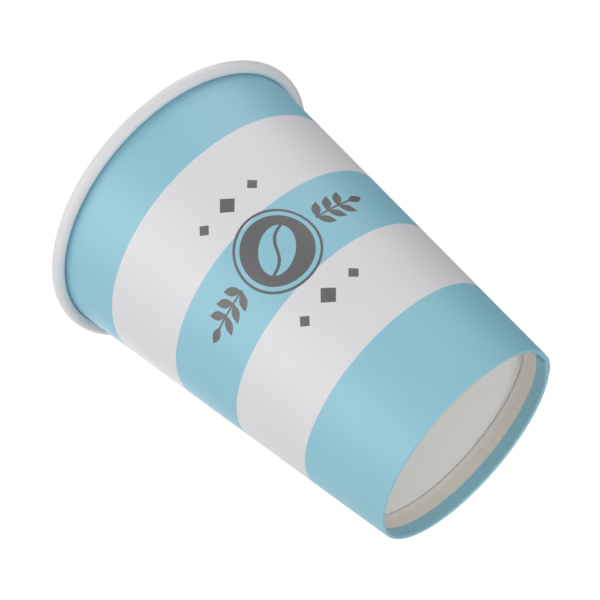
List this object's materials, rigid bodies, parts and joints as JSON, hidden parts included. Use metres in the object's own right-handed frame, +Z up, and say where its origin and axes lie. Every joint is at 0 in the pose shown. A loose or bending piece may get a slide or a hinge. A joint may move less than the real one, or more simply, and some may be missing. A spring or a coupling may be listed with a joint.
{
  "type": "paper cup",
  "caption": "Single-wall paper cup with a rolled rim, lapped side seam and folded base, in blue and white bands.",
  "frame": {"origin": "centre of the standing edge, on the surface that the cup stands on", "axes": "+Z up through the mouth along the cup's axis, +X through the side seam, -Y through the front of the print"},
  "size_m": [0.09, 0.09, 0.11],
  "materials": {
    "printed_board": "matt printed board in pale blue and white bands, bare white inside and on the rim",
    "bare_board": "matt uncoated off-white board"
  },
  "bodies": {
    "root": {"side_wall": "printed_board", "bottom_disc": "bare_board"}
  },
  "joints": []
}
